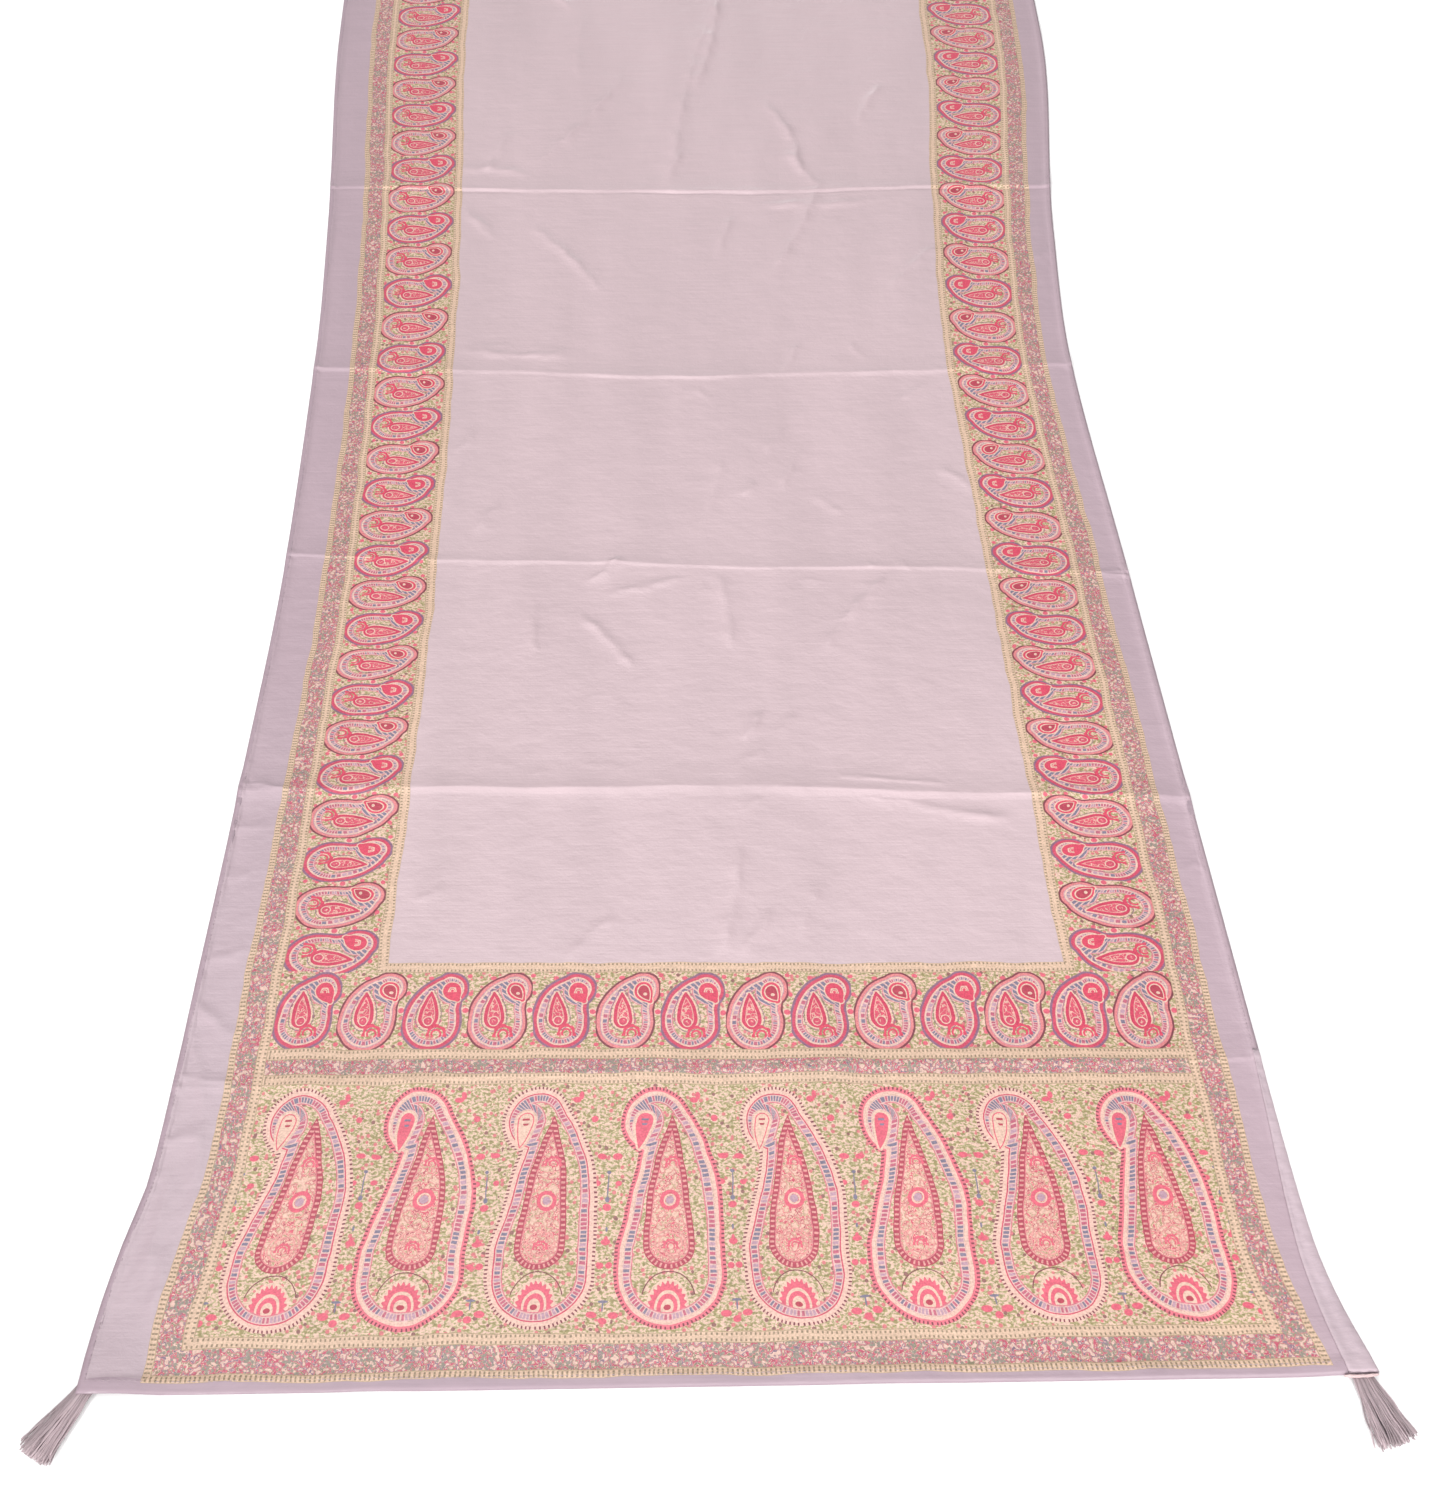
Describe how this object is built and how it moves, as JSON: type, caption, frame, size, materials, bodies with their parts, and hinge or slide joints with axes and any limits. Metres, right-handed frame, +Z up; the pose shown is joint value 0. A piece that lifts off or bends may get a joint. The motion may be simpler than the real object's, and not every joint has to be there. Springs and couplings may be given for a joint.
{
  "type": "dupatta stole",
  "caption": "Long printed stole laid flat, with a paisley border all round, deep paisley ends, turned hems and a thread tassel at each corner.",
  "frame": {"origin": "on the flat underside that rests, at the middle of the stole", "axes": "+Z up out of the printed face, +Y along the stole from the near end to the far end, +X across it"},
  "size_m": [0.9702, 2.4453, 0.0093],
  "materials": {
    "printed_cloth": "soft satin, printed",
    "hem_cloth": "soft satin, turned twice and stitched",
    "underside_cloth": "matte underside of the cloth",
    "tassel_thread": "dull twisted thread"
  },
  "bodies": {
    "root": {"cloth": "printed_cloth", "hem_near": "hem_cloth", "hem_far": "hem_cloth", "hem_left": "hem_cloth", "hem_right": "hem_cloth", "side_fold_near_right": "underside_cloth", "corner_lip_near_right": "underside_cloth", "tassel_near_left": "tassel_thread", "tassel_near_right": "tassel_thread", "tassel_far_left": "tassel_thread", "tassel_far_right": "tassel_thread"}
  },
  "joints": []
}
